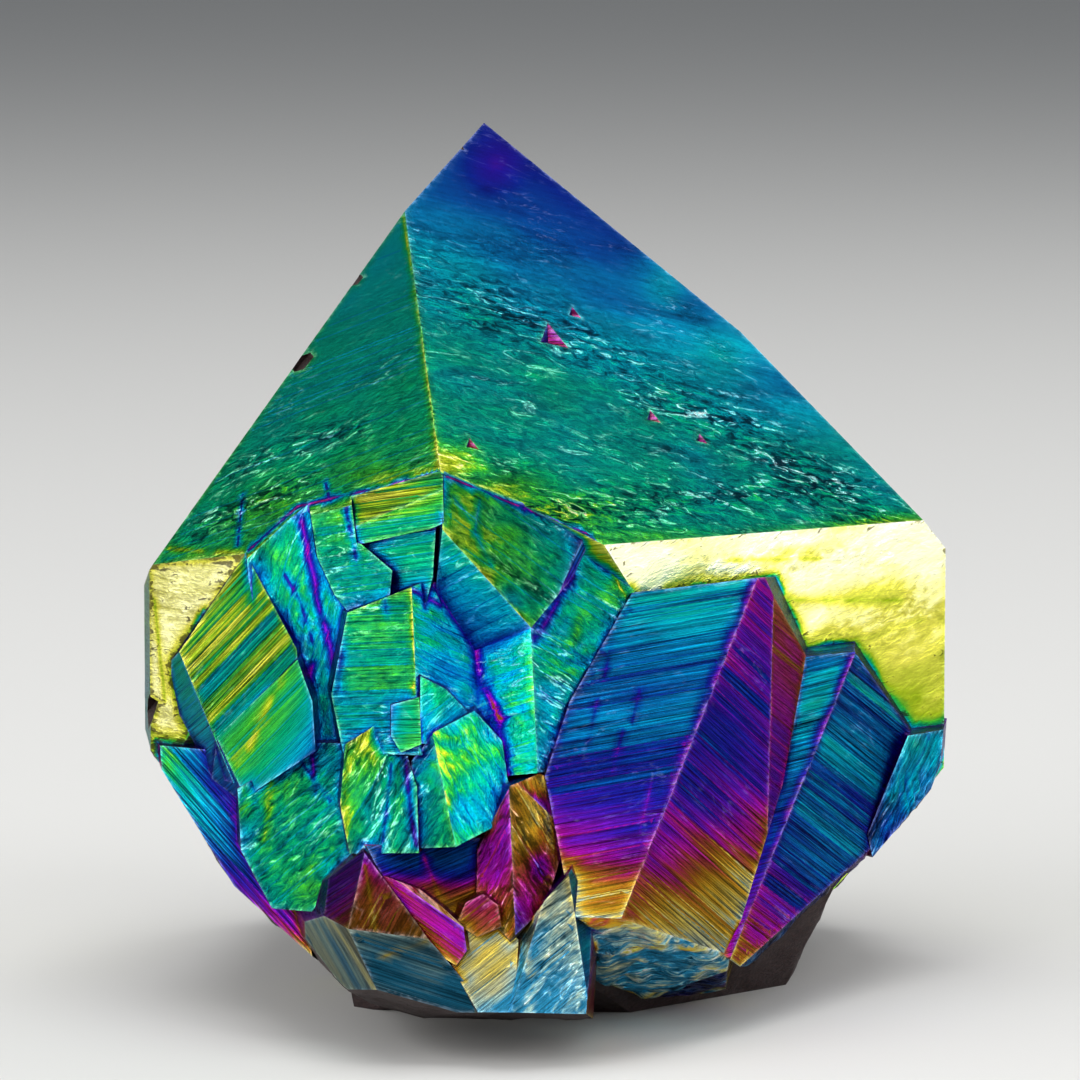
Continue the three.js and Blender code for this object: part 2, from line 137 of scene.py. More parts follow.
TIP = (0, 4.8, 79.2)
LOOKS = [
    # The brightness lists and numbers in these looks are painted light and shade: each face is painted
    # lighter or darker for the light it catches.
    # The cap: deep blue at the tip, through teal to a yellow green hem.
    face(46.2, 43.1, TIP,
         [.83, .785, .765, .755, .75, .745, .725, .70, .665, .625, .60, .565, .53, .51],
         lines=-16, edge=.03, streak=.004, shade=.01, gleam=[1.0, .86, .8, .74, .76, .7, .62],
         chaos=[.08, .07, .07, .06, .06, .04, .03, .02], steps=0, lumps=.05,
         flecks=[1.3, 1.0, .9, .7, .4, .2, .1, .1],
         flurries=[(3, 3.5, [(-0.2, 63.4), (7.1, 61.2), (12.6, 57.8), (18.2, 54.4), (26.6, 50),
                             (35.2, 43.9)]),
                   (1.5, 2.2, [(-6.6, 68.8), (7.1, 68.2)]), (1.2, 1.5, [(-6.5, 65.5), (1.6, 65.3)]),
                   (2, 1.8, [(3.5, 46.8), (31.2, 45.9)]), (1.5, 1.6, [(13.2, 67.4), (22.1, 58.6)])],
         spots=[(1.2, 75.5, 2.6, 2.2, .46), (31, 48, 8, 4, .745), (22, 57, 5, 4, .72),
                (17, 64, 3, 3, .69),
                (-3.5, 51.3, 2.5, 1.4, .90), (2, 49, 3.5, 1.3, .88), (7, 46.5, 3, 1.2, .86),
                (14, 43.6, 6, .9, .84), (25, 42.6, 8, .8, .83), (37, 42.3, 7, 1, .88)],
         seams=[(.90, .16, [(-7.3, 71.8), (-5.5, 62.2), (-3.5, 50.8)]),
                (.22, .16, [(-3.3, 50.6), (9.4, 44.8), (11.1, 43.1)]),
                (.95, .25, [(11.1, 43.1), (26.3, 42.6), (41.3, 42.2)])]),
    face(-48.3, 33.2, (-3.5, -37.2, 50.8),
         [.87, .82, .79, .775, .77, .765, .76, .755, .75, .745, .74, .735],
         lines=24, edge=.05, streak=.003, shade=.008, chaos=[.07, .04, .02, .01, .01], steps=.005,
         lumps=.03, flecks=[1.0, .5, .2, .1], specks=.4, gleam=[.75, .62, .58, .58],
         spots=[(-7, 49.6, 5, 1.3, .88), (-18, 46, 6, 2, .84)],
         flurries=[(2, 1.2, [(-23, 48.8), (-16.4, 52), (-10.9, 53.4)]),
                   (2.5, 1.5, [(-25.6, 43.6), (-16.3, 48.7)])],
         seams=[(.92, .2, [(-7.3, 71.8), (-5.5, 62.2), (-3.5, 50.8)]),
                (.24, .2, [(-3.5, 50.8), (-12.4, 47.9), (-16.5, 46.6), (-21.3, 42.2)]),
                (.9, .4, [(-28.5, 41.7), (-21.3, 42.2)]),
                (.50, .2, [(-21.7, 46.9), (-22, 42.8)]), (.45, .2, [(-14, 49), (-13.5, 47.4)])]),
    face(-97.2, 34.7, TIP, [.9, .84, .8, .76, .7, .62, .57, .54], lines=15, edge=.05,
         streak=.005, shade=.012, chaos=.05, steps=0, flecks=.6),
    face(130, 42, TIP, [.88, .82, .78, .74, .68, .6, .56, .54], lines=-12, streak=.005,
         shade=.012, chaos=.07, steps=0, flecks=.9),
    face(176, 39, (0, 5.6, 79.2), [.9, .84, .8, .76, .72, .64, .57, .54], lines=10, streak=.005,
         shade=.012, chaos=.06, steps=0, flecks=.7),
    face(102, 42, (41.3, -1.9, 42.2), [.92, .86, .8, .76], lines=-14, streak=.005, shade=.012,
         chaos=.06, steps=0, flecks=.7),
    # The standing sides: gold, with long level flames.
    face(44.5, 0, (41.3, -1.9, 42.2), [.905, .925, .95, .98, 1.0, 1.0], lines=18, edge=-.02,
         streak=.004, shade=.006, chaos=[.12, .1, .06, .03], steps=0, lumps=.06, flecks=.25,
         specks=.8, gleam=[.95, 1.0, 1.2, 1.4],
         flurries=[(2, 2.5, [(31, 31), (40, 35)]), (1.5, 1.5, [(20, 39.5), (38, 40)])],
         spots=[(36, 36, 4, 1.2, .93), (39, 28, 3, 1.0, .92), (29, 41, 4, .7, .95)],
         seams=[(.90, .35, [(19.7, 39.4), (29, 36.4), (38.9, 35.1)]),
                (.93, .3, [(30, 33), (36, 32), (41, 33)]), (.90, .3, [(34, 28), (41, 25.5)]),
                (.92, .3, [(22, 41), (31, 40)])]),
    face(0, -30, (11.1, -31.4, 43.2), [.93, .97], lines=3, chaos=.05, specks=.6),
    face(-42, 0, (-30.4, -17.5, 40), [.96, .98, 1.0, 1.0, .98], lines=4, edge=-.05,
         streak=.005, shade=.01, chaos=.06, steps=0, lumps=.06, flecks=.5, specks=1.2,
         gleam=.86, seams=[(.9, .3, [(-29.9, 36.9), (-29, 27.8)])]),
    face(-81, 0, (-30.4, -17.5, 40), [.72, .78, .86], lines=2, edge=.05, specks=.8),
    face(-103, 0, (-31.2, -12.4, 40), [.9, .95, .98, 1.0], lines=4, chaos=.05, steps=.03,
         streak=.01, shade=.03, specks=.5),
    *[face(turn, 0, point, film, lines=lines, chaos=.05, steps=.03, streak=.01, shade=.03)
      for turn, point, film, lines in [
          (-140, (-24, 12, 30), [.84, .9, .97, 1.0], -5), (176, (0, 28, 30), [.8, .88, .95, 1.0], 5),
          (128, (29, 22, 30), [.84, .92, .97, 1.0], -4),
          (103, (43.4, 0.1, 35), [.86, .93, .98, 1.0], 0)]],
    face(-18, 0, (-21.3, -25.7, 42.2), [.62, .7], lines=60),
    face(-33, 0, (-3.5, -35.4, 50.8), [.6, .66], lines=13),
    face(-75, 0, (-21.3, -25.7, 42.2), [.6, .7], lines=13),
    face(31, 18, (0.5, -36.4, 41.6), [.62, .8], fade=90, lines=20),
    # The cluster under the front edge of the cap.
    face(31, 18, (0.5, -38.1, 41.6), [.88, .86, .84, .82, .77, .62], fade=-10, lines=-38,
         edge=.04, streak=.008, shade=.015, chaos=.08, steps=.01, lumps=.16, flecks=1.1,
         gleam=.66,
         seams=[(.73, .2, [(-0.1, 48.1), (-0.5, 45.5), (1, 42.5)]),
                (.74, .15, [(-2.2, 48.4), (-0.9, 46.6)]),
                (.91, .25, [(-3.1, 44.6), (0, 41.4), (4.4, 37.3)]),
                (.40, .45, [(9.4, 44.6), (8.1, 41.1), (6.1, 38)]),
                (.24, .13, [(-3.3, 50.6), (9.4, 44.8)])],
         spots=[(6, 45.5, 1.6, 1.6, .74), (2.5, 39.5, 2, 1.2, .72), (-2, 42, 1, 2, .76)], crumple=.11),
    face(-16, -21, (0.5, -38.1, 41.6), [.62, .68, .73, .82], fade=60, lines=30, edge=-.03,
         shade=.04, gleam=1.4, flecks=.8, lumps=.12),
    face(58, -3, (7.6, -34, 41.4), [.40, .46, .58, .66], lines=60, steps=0, edge=.02),
    face(-33, 17, (4.7, -39.5, 31.8), [.79, .75, .72, .73], lines=22, edge=.04, streak=.04,
         shade=.08, steps=.08, flecks=1.4, lumps=.1, tread=1.2, gleam=3.6,
         seams=[(.34, .5, [(-4.5, 40.6), (-0.5, 35.2), (0.1, 31.8), (1.5, 29.8), (2.4, 24)]),
                (.22, .3, [(0.3, 31.6), (1.8, 29.2)])], crumple=.19),
    face(38, 19, (4.7, -39.5, 31.8), [.70, .72, .76, .79, .81, .84], fade=20, lines=-35,
         edge=.04, streak=.02, shade=.035, chaos=.1, steps=.06, lumps=.2, flecks=1.6,
         tread=1.2, gleam=1.2,
         seams=[(.42, .45, [(8.1, 41), (6.1, 37.9), (4.8, 36)]),
                (.93, .25, [(9, 43.5), (11.5, 41.5), (13, 38.5)])], crumple=.22),
    face(-37, 16, (-5.7, -41.1, 34.2), [.72, .75, .77, .78, .79, .80, .84], lines=8, edge=.03,
         streak=.03, shade=.08, chaos=.06, steps=.06, lumps=.08, flecks=.9, tread=1.1, gleam=.95,
         spots=[(-6.3, 29, .8, 1.6, .66)],
         seams=[(.56, .5, [(-12, 37.4), (-12.6, 31.4)]), (.6, .3, [(-8.4, 39.5), (-8.3, 38.5)]),
                (.93, .2, [(-6.1, 40.5), (-5.7, 34.2), (-5.9, 30)])], crumple=.05),
    face(-37, 16, (-6.5, -42.9, 29.5), [.62, .79, .84, .84], fade=0, lines=8, steps=.02,
         shade=.1),
    face(48, 17, (-5.7, -41.1, 34.2), [.80, .75, .73, .74], fade=-20, lines=-32, edge=.02,
         streak=.03, shade=.07, chaos=.08, steps=.07, lumps=.12, flecks=1.1, tread=1.1,
         gleam=2.1,
         seams=[(.34, .45, [(-4.4, 41.4), (-0.5, 35.2), (0.1, 31.7), (1.4, 29.4), (2.3, 23.4)]),
                (.42, .3, [(-6, 40.6), (-3.6, 38.9)])], crumple=.19),
    face(48, 17, (-2.6, -40.2, 31), [.78, .74, .73, .78], lines=30, shade=.1, steps=.03,
         flecks=.8, gleam=2.0, crumple=.16),
    face(-24, 14, (-16.2, -29.4, 38.5), [.81, .79, .77, .78, .80, .83], lines=72, edge=-.03,
         streak=.015, shade=.03, chaos=.1, steps=.05, lumps=.2, flecks=1.6, gleam=1.7,
         seams=[(.38, .45, [(-16.1, 45.4), (-14.4, 37.7), (-13.5, 34.7), (-12.6, 30.4)]),
                (.33, .35, [(-15.1, 32.7), (-15.5, 30.7), (-15.1, 27.1), (-14.6, 22.1)]),
                (.45, .22, [(-17.6, 40.6), (-16.2, 38.5), (-15.1, 35)])], crumple=.24),
    face(-41, 10, (-12.1, -32.3, 42.4), [.74, .76, .79, .82], lines=13, edge=.02, streak=.03,
         shade=.04, chaos=.07, steps=.04, lumps=.08, flecks=.9,
         seams=[(.50, .35, [(-12.2, 48.5), (-11.6, 45.1), (-11.1, 42.8)])], crumple=.14),
    face(-39, 9, (-7.6, -34.8, 47.2), [.79, .80, .82, .85], lines=13, edge=.03, streak=.04,
         shade=.1, steps=.05, lumps=.03, flecks=.4, tread=1.0,
         seams=[(.50, .35, [(-12.2, 48.5), (-11.6, 45.1), (-11.1, 42.8)])]),
    face(-42, 16, (-11.5, -31.1, 47.7), [.83, .86, .89, .94], fade=150, lines=13, streak=.05,
         shade=.1, gleam=.55),
    face(-38, 12, (-6.7, -35.6, 42.9), [.76, .78, .82], lines=13, streak=.03, shade=.08,
         steps=.03, flecks=.4, seams=[(.54, .3, [(-8, 41.9), (-7.1, 40.2)])]),
    face(-46, 10, (-21.7, -27.7, 32.8), [.86, .84, .82, .85, .88], fade=135, lines=48, edge=.03,
         streak=.06, shade=.12, steps=.08, lumps=.02, flecks=.3, tread=1.1, gleam=.8),
    face(-64, -6, (-25, -25.6, 27.7), [.62, .7, .76, .8], lines=48, shade=.08, edge=-.08),
    face(-48, 10, (-19.3, -32.1, 27.1), [.62, .73, .82, .86, .80], fade=135, lines=48,
         edge=-.04, streak=.02, shade=.05, steps=.02, lumps=.04, gleam=1.15,
         seams=[(.92, .5, [(-16.1, 35.4), (-20.7, 25.6)])]),
    face(-62, -5, (-23.8, -27.5, 25.7), [.62, .7, .74], lines=48, shade=.08, edge=-.06),
    face(-38, 17, (-16, -36.6, 19.7), [.76, .765, .77, .78, .78, .77], lines=42, edge=-.02,
         streak=.008, shade=.015, chaos=.08, steps=.03, lumps=.25, flecks=1.9,
         spots=[(-15, 14, 2.5, 2, .84), (-14, 25, 1.0, 1.0, .68)],
         seams=[(.52, .25, [(-16.1, 24.8), (-13.3, 21.7)]), (.86, .4, [(-18.4, 25.4), (-19.2, 17.6)]),
                (.36, .3, [(-15.1, 27.1), (-14.6, 22.1)])], crumple=.22),
    face(-29, 21, (-9.8, -42.4, 23.4), [.78, .79, .81, .84], lines=60, edge=.02, streak=.01,
         shade=.02, chaos=.1, steps=.03, lumps=.22, flecks=1.6,
         seams=[(.44, .35, [(-8, 30), (-7.7, 27.1), (-6.4, 26), (-5.9, 21.2), (-5.5, 19.2)]),
                (.52, .25, [(-7.7, 25.6), (-8.5, 19.3)]), (.92, .3, [(-13.2, 25.6), (-11.8, 19.5)])],
         crumple=.27),
    face(-30, 13, (-3.1, -45.6, 23.9), [.66, .74, .77, .82], fade=0, lines=50, edge=.02,
         streak=.01, shade=.02, chaos=.09, steps=.03, lumps=.22, flecks=1.6,
         seams=[(.94, .3, [(-2.6, 26.3), (-2.1, 20)]),
                (.40, .3, [(-6.4, 26), (-5.9, 21.2), (-5.5, 19.2)])], crumple=.27),
    face(36, 24, (-3.1, -45.6, 23.9), [.84, .80, .755, .725, .735], fade=0, lines=-60,
         edge=-.02, streak=.01, shade=.02, chaos=.11, steps=.03, lumps=.28, flecks=2.4,
         spots=[(.5, 19.5, 2, 1.2, .82), (-1, 26.5, 1.5, 1, .86)], gleam=2.4, crumple=.30),
    # The buttresses at the right: teal on top, through blue and purple to a gold foot.
    face(23, 31, (19.5, -34.5, 28.3),
         [.12, .16, .36, .46, .54, .57, .585, .605, .635, .67, .71, .74],
         lines=6, edge=-.05, streak=.05, shade=.1, chaos=.04, steps=.08, lumps=.05, flecks=.15,
         tread=1.2, gleam=[.7, .8, .75, .75, .7],
         seams=[(.33, .85, [(24.9, 39.4), (19.5, 27.5), (14.9, 16.7)]),
                (.46, .22, [(10.3, 30.5), (9.5, 27.3)]), (.46, .2, [(14.1, 31.1), (13.4, 28.6)]),
                (.44, .22, [(12.5, 27.6), (11.6, 24.8)]), (.48, .2, [(11.7, 35.4), (10.9, 32.1)]),
                (.42, .2, [(15.4, 24.5), (14, 19.8)]), (.48, .2, [(10.6, 37.5), (10.1, 34.6)])]),
    face(54, 7, (19.5, -34.5, 28.3), [.13, .145, .19, .30, .41, .46, .49, .48, .44, .41, .37], fade=100,
         lines=-47, edge=-.06, streak=.07, shade=.12, steps=.09, lumps=.04, flecks=.15, tread=1.1,
         gleam=[.6, .8, 1, 1, 1]),
    face(67, 4, (25.8, -26, 28.9), [.46, .40, .33, .28, .25], lines=-47, edge=-.05, streak=.05,
         shade=.1, steps=.07),
    face(8, -63, (14, -21.8, 0), [.0, .02, .01, .05, .10], lines=6, shade=.08, chaos=.15,
         lumps=1.1, flecks=2.0, bare=.15, gleam=1.5, crumple=.30),
    face(34, -68, (23, -15, 0), [.02, .6, .55], lines=6, chaos=.3, lumps=.8, flecks=1.5,
         bare=.3, gleam=.6),
    face(43, 20, (28.4, -23.7, 19.4), [.36, .50, .57, .61, .64, .68, .74], lines=6, edge=-.08,
         streak=.05, shade=.12, steps=.07, gleam=.8,
         seams=[(.38, .65, [(34.3, 31.1), (27.9, 18.6), (22.7, 7.7)])]),
    face(57, 6, (28.4, -23.7, 19.4), [.14, .34, .46, .56, .61, .61, .61, .62, .65], fade=70,
         lines=-44, edge=-.08, streak=.07, shade=.13, steps=.10, lumps=.03, flecks=.3,
         tread=1.1),
    face(75, -44, (31.5, -17.5, 10), [.62, .55, .4], lines=-44, chaos=.2, lumps=.6, flecks=1.2,
         bare=.3, gleam=.6),
    face(51, 4, (40.2, -7.6, 18.6), [.60, .68, .74], lines=60, edge=-.06, shade=.08, chaos=.15,
         steps=.05, lumps=.4, flecks=1.2, bare=.1, crumple=.19),
    # The small crystals along the foot: magenta and gold, with steely blue where most worn.
    face(11, 23, (-2.2, -44.6, 17.1), [.22, .24, .3, .54, .60, .62, .63], lines=20, lumps=.15,
         gleam=[.4, .45, .7, 1.1],
         seams=[(.18, .3, [(-4.8, 17.6), (-2.2, 11.7)])]),
    face(5, 31, (-11.4, -49.8, 12.4), [.20, .21, .22, .26, .34, .40], lines=60, streak=.01,
         shade=.03, chaos=.06, steps=.04, flecks=.4, gleam=[.22, .26, .32, .45, .6],
         seams=[(.13, .2, [(-10, 17.4), (-8.6, 9.9)]), (.14, .22, [(-8.2, 10), (-4.3, 11.4)])]),
    face(0, -4, (-11.4, -49.8, 12.4), [.0, .0, .01, .02, .05], lines=-18, streak=.01,
         shade=.03, chaos=.02, steps=.07, flecks=.05, gleam=.26,
         seams=[(.10, .25, [(-8.2, 10), (-4.3, 11.4)])]),
    face(-65, 25, (-11.4, -49.8, 12.4), [.16, .3, .4, .44], lines=40, streak=.06, steps=.08, gleam=.5),
    face(-67, -24, (-11.4, -49.8, 12.4), [.05, .03, .06], lines=-60, streak=.02, steps=.06,
         chaos=.1, gleam=.6),
    face(8, 43, (-4.7, -47.9, 14.5), [.2, .22, .3], lines=-40, edge=-.02, streak=.04, gleam=.5),
    face(-17, 12, (-4.7, -47.9, 14.5), [.15, .30, .36, .42, .38], fade=60, lines=-32,
         edge=-.02, streak=.07, steps=.08),
    face(-8, 17, (0, -49, 9.9), [.02, .11, .13, .14, .13], lines=38, edge=0, streak=.02,
         shade=.1, steps=.1),
    face(17, 2, (4.4, -50.3, 11), [.0, .005, .03, .045, .06, .075], lines=38, streak=.012,
         shade=.1, chaos=.08, steps=.08, lumps=.12, flecks=1.2,
         gleam=[1.05, 1.05, 1.0, .65, .45], crumple=.14),
    face(-59, 18, (4.4, -50.3, 11), [.02, .04, .09], lines=60, streak=.02, steps=.06),
    face(71, 8, (8.5, -48.1, 14.2), [.62, .66, .70], lines=10, streak=.03),
    face(-43, 20, (3.2, -46.8, 19.7), [.24, .32, .36, .38], lines=62, edge=-.04, streak=.03,
         shade=.04, chaos=.1, steps=.08, lumps=.25, flecks=1.4, crumple=.19),
    face(33, 31, (3.2, -46.8, 19.7), [.42, .40, .36, .22, .16, .14, .18], lines=-70, edge=.03,
         streak=.02, shade=.03, chaos=.14, steps=.07, lumps=.28, flecks=1.3,
         gleam=[.6, .7, .8, .8], spots=[(4.2, 15.2, .9, 1.2, .45)], crumple=.22),
    face(27, 27, (2.6, -44.1, 23.8), [.46, .40, .32, .25, .20, .18, .18, .21], lines=-58,
         streak=.02, shade=.04, chaos=.1, steps=.07, lumps=.22, flecks=1.2,
         gleam=[.65, .6, .5, .5, .6], spots=[(5.2, 17.2, .9, 1.2, .42)], crumple=.16),
    face(-22, 15, (0.3, -49, 13.4), [.19, .26, .30], lines=40, lumps=.12, flecks=.5, gleam=.6),
    # Two narrow walls in the folds of the cluster, painted bright against the shade that falls in them.
    face(-82, 3.1, (-3.6, -37.5, 43.3), [.64, .70, .74], shade=.04, gleam=2.6),
    face(85, 5.8, (-14.7, -33.7, 30.1), [.50, .58, .64], shade=.04, gleam=2.2),
    # The striped outer crystal at the lower left.
    face(-49, -3, (-21.8, -27.7, 15.5), [.84, .70, .62, .55, .46, .40, .30, .2], fade=-45,
         lines=-42, edge=-.04, streak=.12, shade=.16, steps=.12, tread=1.2,
         gleam=[1.1, .9, .7, .5]),
    # Underneath, where it tore out of its bed.
    *[face(turn, pitch, point, [.4, .3], lines=15, chaos=.2, steps=.02, lumps=.45, flecks=.8,
           bare=1.0)
      for turn, pitch, point in [
          (-3, -77, (0, -28, 0)), (-45, -68, (-9, -25, 0)), (-79, -49, (-8.5, -25.4, 0)),
          (-90, -36, (-29.3, -14, 21.6)), (86, -46, (41.5, -3, 17)), (150, -42, (24, 16, 0)),
          (-150, -40, (-12, 18, 0)), (-3, -60, (5, -24, 0)), (42, -30, (24, -15, 0)),
          (88, -24, (28.5, 0, 0)), (140, -20, (24, 14, 0)), (178, -20, (6, 21, 0)),
          (-145, -10, (-10, 15, 0)), (-88, -10, (-12.5, 0, 0)), (-40, -20, (-9, -24, 0))]],
    face(0, -90, (0, 0, 0), [.4, .3], steps=0, lumps=0, flecks=.8, bare=1.0),
]


# Knocks that broke through the film, and the three-sided growth pits in the front cap face.
KNOCKS = [(-16.4, -15.2, 58.5), (-11.5, -13.5, 65.9), (-2.3, -0.1, 77.3), (-0.8, 4, 78.6),
          (-30.6, -16.5, 26.5)]
PITS = [(6.3, -13.6, 60.5), (8.3, -9, 62.3), (15.5, -13.9, 53.2), (20, -12.2, 51),
        (-0.9, -31.8, 52.6)]


# Faces that the list leaves out: pits, knocks, the flanks of the small crystals and the back.
# Their film goes by height, from gold at the foot to teal, and is thinner on the narrow ones.
def plain_look(normal, level, points, area, seed):
    draw = np.random.RandomState(seed)
    low, high, middle = points[:, 2].min(), points[:, 2].max(), points.mean(0)
    heights = [0, 5, 10, 18, 28, 45, 80]
    films = [.14, .2, .38, .52, .62, .72, .8]
    shift = draw.uniform(-.06, .06)
    film = [float(np.interp(low + (high - low) * k / 4, heights, films)) + shift for k in range(5)]
    if area < 14:
        film = [f - .12 for f in film]
    edge, torn, gleam = -.08, 0.0, 1.0
    if high < (22 if normal[2] < -0.35 else 6):
        torn = 1.0
    # Small faces at the knocks are torn bare and painted dark. Pit walls facing left get painted shade,
    # and those facing right a painted highlight.
    if area < 25 and min(math.dist(middle, knock) for knock in KNOCKS) < 2.6:
        torn, gleam = 1.0, 0.3
    if area < 6 and min(math.dist(middle, pit) for pit in PITS) < 2.2:
        to_the_left = normal @ (.69, .72, 0) < 0
        edge, film, gleam = (0, [.36, .40], 0.6) if to_the_left else (0, [.60, .68], 1.4)
    return face_look(normal, level, film, lines=draw.uniform(-12, 12), edge=edge, streak=.05,
                     shade=.08, chaos=.04, steps=.08, lumps=.06, flecks=.3, bare=torn, tread=1.8,
                     gleam=gleam)


def look_for(normal, level, points, area, seed):
    """The listed look nearest to the face's own plane, within 1.2 degrees and 0.2 mm."""
    best, closest = None, 1.0
    for look in LOOKS:
        apart = math.degrees(math.acos(min(1.0, normal @ look["normal"]))) / 1.2
        away = abs((points @ look["normal"]).mean() - look["level"]) / 0.2
        if max(apart, away) < closest:
            best, closest = look, max(apart, away)
    if best is None:
        return plain_look(normal, level, points, area, seed)
    return best


def smooth_noise(x, y, seed):
    """Random hills about one unit apart, between -1 and 1."""
    cell_x, cell_y = np.floor(x), np.floor(y)
    part_x, part_y = x - cell_x, y - cell_y
    part_x = part_x * part_x * (3 - 2 * part_x)
    part_y = part_y * part_y * (3 - 2 * part_y)

    def corner(i, j):
        mixed = np.sin((cell_x + i) * 127.1 + (cell_y + j) * 311.7 + seed * 74.7) * 43758.5453
        return 2 * (mixed - np.floor(mixed)) - 1

    near = corner(0, 0) * (1 - part_x) + corner(1, 0) * part_x
    far = corner(0, 1) * (1 - part_x) + corner(1, 1) * part_x
    return near * (1 - part_y) + far * part_y


def riser_places(low, high, tread, draw):
    """Where the growth steps rise: treads of very different widths, one after another."""
    widths = tread * np.clip(np.exp(draw.normal(-0.25, 0.75, int((high - low) / tread * 2.5) + 8)),
                             0.18, 3.5)
    risers = low + draw.uniform(0, 1) * tread + np.cumsum(widths)
    return risers[risers < high]


class GrowthSteps:
    """The flight of steps across a crystal face. Each tread has its own width, level, tilt and film,
    and its level also drifts along the growth lines."""

    def __init__(self, low, high, risers, draw):
        size = len(risers) + 1
        self.risers = risers
        self.levels = draw.uniform(-1, 1, size)
        self.tilts = draw.uniform(-0.6, 0.6, size)
        self.tones = np.clip(draw.normal(0, 0.6, size), -1.3, 1.3)
        self.swings = draw.uniform(4, 14, size)
        self.phases = draw.uniform(0, 6.3, size)
        ends = np.concatenate([[low], risers, [high]])
        self.middles = (ends[1:] + ends[:-1]) / 2

    def tread_at(self, v):
        return np.searchsorted(self.risers, v)

    def lift(self, u, v):
        k = self.tread_at(v)
        drift = 0.6 + 0.4 * np.sin(u / self.swings[k] + self.phases[k])
        return self.levels[k] * drift + self.tilts[k] * (v - self.middles[k])


def inside(points, starts, ends):
    """Which points lie inside the closed outline made of these segments."""
    hits = np.zeros(len(points), int)
    for (ax, ay), (bx, by) in zip(starts, ends):
        if ay == by:
            continue
        between = (points[:, 1] >= min(ay, by)) & (points[:, 1] < max(ay, by))
        cross_x = ax + (points[:, 1] - ay) * (bx - ax) / (by - ay)
        hits += between & (points[:, 0] < cross_x)
    return hits % 2 == 1


def rim_distance(points, starts, ends):
    """How far each point is from the nearest of these segments."""
    nearest = np.full(len(points), 1e9)
    for a, b in zip(starts, ends):
        run = b - a
        along = np.clip((points - a) @ run / max(run @ run, 1e-12), 0, 1)
        nearest = np.minimum(nearest, np.linalg.norm(points - a - along[:, None] * run, axis=1))
    return nearest


# The crystal's new skin. Edges are cut into short lengths first, so that neighbouring faces share
# them, and then each face is filled with rows of points along its own growth lines.
EDGE_PIECE = 0.55  # mm
skin_points = [tuple(p) for p in corners]
edge_chains = {}


def edge_chain(edge):
    a, b = sorted(v.index for v in edge.verts)
    if (a, b) not in edge_chains:
        count = max(1, round(np.linalg.norm(corners[b] - corners[a]) / EDGE_PIECE))
        chain = [a]
        for k in range(1, count):
            chain.append(len(skin_points))
            skin_points.append(tuple(corners[a] + (corners[b] - corners[a]) * k / count))
        edge_chains[(a, b)] = chain + [b]
    return edge_chains[(a, b)]


